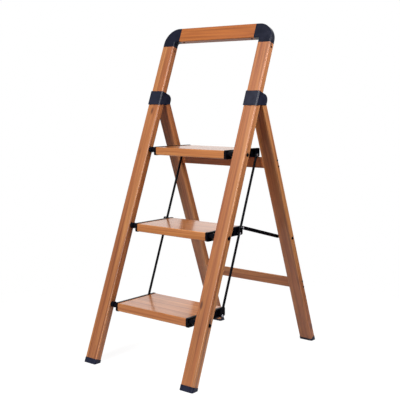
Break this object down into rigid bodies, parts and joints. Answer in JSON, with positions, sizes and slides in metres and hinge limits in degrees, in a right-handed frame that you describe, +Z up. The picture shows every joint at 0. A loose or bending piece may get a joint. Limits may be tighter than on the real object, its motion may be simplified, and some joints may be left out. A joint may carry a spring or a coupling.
{
  "type": "folding step ladder",
  "caption": "Folding step ladder with woodgrain tube rails, a raised handle bar, flat treads on link rods, brace links and a hinged rear frame.",
  "frame": {"origin": "on the floor, under the middle of the opened ladder's box", "axes": "+Z up, -Y towards the user who climbs, +X to that user's right"},
  "size_m": [0.4588, 0.6858, 1.0901],
  "materials": {
    "woodgrain_aluminium": "satin woodgrain film over extruded tube",
    "black_plastic": "fine moulded texture, satin",
    "foot_rubber": "matt moulded",
    "black_steel": "black powder coat",
    "zinc_steel": "bright zinc plate",
    "nylon": "plain nylon"
  },
  "bodies": {
    "front_frame": {"left_front_rail": "woodgrain_aluminium", "right_front_rail": "woodgrain_aluminium", "left_front_foot": "foot_rubber", "right_front_foot": "foot_rubber", "handle_bar": "woodgrain_aluminium", "left_handle_elbow": "black_plastic", "right_handle_elbow": "black_plastic", "handle_screws": "black_steel", "left_hinge_collar": "black_plastic", "right_hinge_collar": "black_plastic", "collar_rivets": "black_steel", "hinge_pins": "zinc_steel", "step_bolts": "black_steel", "step_washers": "nylon", "step_nuts": "zinc_steel"},
    "rear_frame": {"left_rear_leg": "woodgrain_aluminium", "right_rear_leg": "woodgrain_aluminium", "left_rear_foot": "foot_rubber", "right_rear_foot": "foot_rubber", "left_leg_hinge_plug": "black_plastic", "right_leg_hinge_plug": "black_plastic", "upper_crossbar": "woodgrain_aluminium", "lower_crossbar": "woodgrain_aluminium", "crossbar_end_plugs": "nylon", "crossbar_screws": "black_steel", "brace_leg_pins": "black_steel"},
    "bottom_step": {"bottom_tread": "woodgrain_aluminium", "bottom_left_cap": "black_plastic", "bottom_right_cap": "black_plastic", "bottom_rod_rivets": "zinc_steel", "bottom_cap_screws": "black_steel"},
    "middle_step": {"middle_tread": "woodgrain_aluminium", "middle_left_cap": "black_plastic", "middle_right_cap": "black_plastic", "middle_rod_rivets": "zinc_steel", "middle_cap_screws": "black_steel"},
    "top_step": {"top_tread": "woodgrain_aluminium", "top_left_cap": "black_plastic", "top_right_cap": "black_plastic", "top_rod_rivets": "zinc_steel", "top_cap_screws": "black_steel"},
    "left_rod": {"left_link_rod": "black_steel", "left_brace_pin": "zinc_steel"},
    "left_brace": {"left_brace_link": "black_steel", "left_brace_end_rivet": "zinc_steel"},
    "right_rod": {"right_link_rod": "black_steel", "right_brace_pin": "zinc_steel"},
    "right_brace": {"right_brace_link": "black_steel", "right_brace_end_rivet": "zinc_steel"}
  },
  "joints": [
    {"name": "rear_frame_fold", "type": "hinge", "parent": "front_frame", "child": "rear_frame", "pos_m": [0, 0.01099, 0.83809], "axis": [-1, 0, 0], "range_deg": [0, 41.2]},
    {"name": "bottom_step_fold", "type": "hinge", "parent": "front_frame", "child": "bottom_step", "pos_m": [0, -0.26169, 0.18146], "axis": [1, 0, 0], "range_deg": [0, 69.6]},
    {"name": "middle_step_fold", "type": "hinge", "parent": "front_frame", "child": "middle_step", "pos_m": [0, -0.16964, 0.42899], "axis": [1, 0, 0], "range_deg": [0, 69.6]},
    {"name": "top_step_fold", "type": "hinge", "parent": "front_frame", "child": "top_step", "pos_m": [0, -0.07758, 0.67653], "axis": [1, 0, 0], "range_deg": [0, 69.6]},
    {"name": "left_rod_swing", "type": "hinge", "parent": "top_step", "child": "left_rod", "pos_m": [-0.1573, 0.06842, 0.66513], "axis": [-1, 0, 0], "range_deg": [0, 69.6]},
    {"name": "left_brace_swing", "type": "hinge", "parent": "left_rod", "child": "left_brace", "pos_m": [-0.1648, -0.01652, 0.43672], "axis": [-1, 0, 0], "range_deg": [0, 91.13]},
    {"name": "right_rod_swing", "type": "hinge", "parent": "top_step", "child": "right_rod", "pos_m": [0.1573, 0.06842, 0.66513], "axis": [-1, 0, 0], "range_deg": [0, 69.6]},
    {"name": "right_brace_swing", "type": "hinge", "parent": "right_rod", "child": "right_brace", "pos_m": [0.1648, -0.01652, 0.43672], "axis": [-1, 0, 0], "range_deg": [0, 91.13]}
  ],
  "couplings": [
    {"joint": "bottom_step_fold", "follows": "rear_frame_fold", "ratio": 1.6893},
    {"joint": "middle_step_fold", "follows": "rear_frame_fold", "ratio": 1.6893},
    {"joint": "top_step_fold", "follows": "rear_frame_fold", "ratio": 1.6893},
    {"joint": "left_rod_swing", "follows": "rear_frame_fold", "ratio": 1.6893},
    {"joint": "left_brace_swing", "follows": "rear_frame_fold", "ratio": 2.2118},
    {"joint": "right_rod_swing", "follows": "rear_frame_fold", "ratio": 1.6893},
    {"joint": "right_brace_swing", "follows": "rear_frame_fold", "ratio": 2.2118}
  ]
}
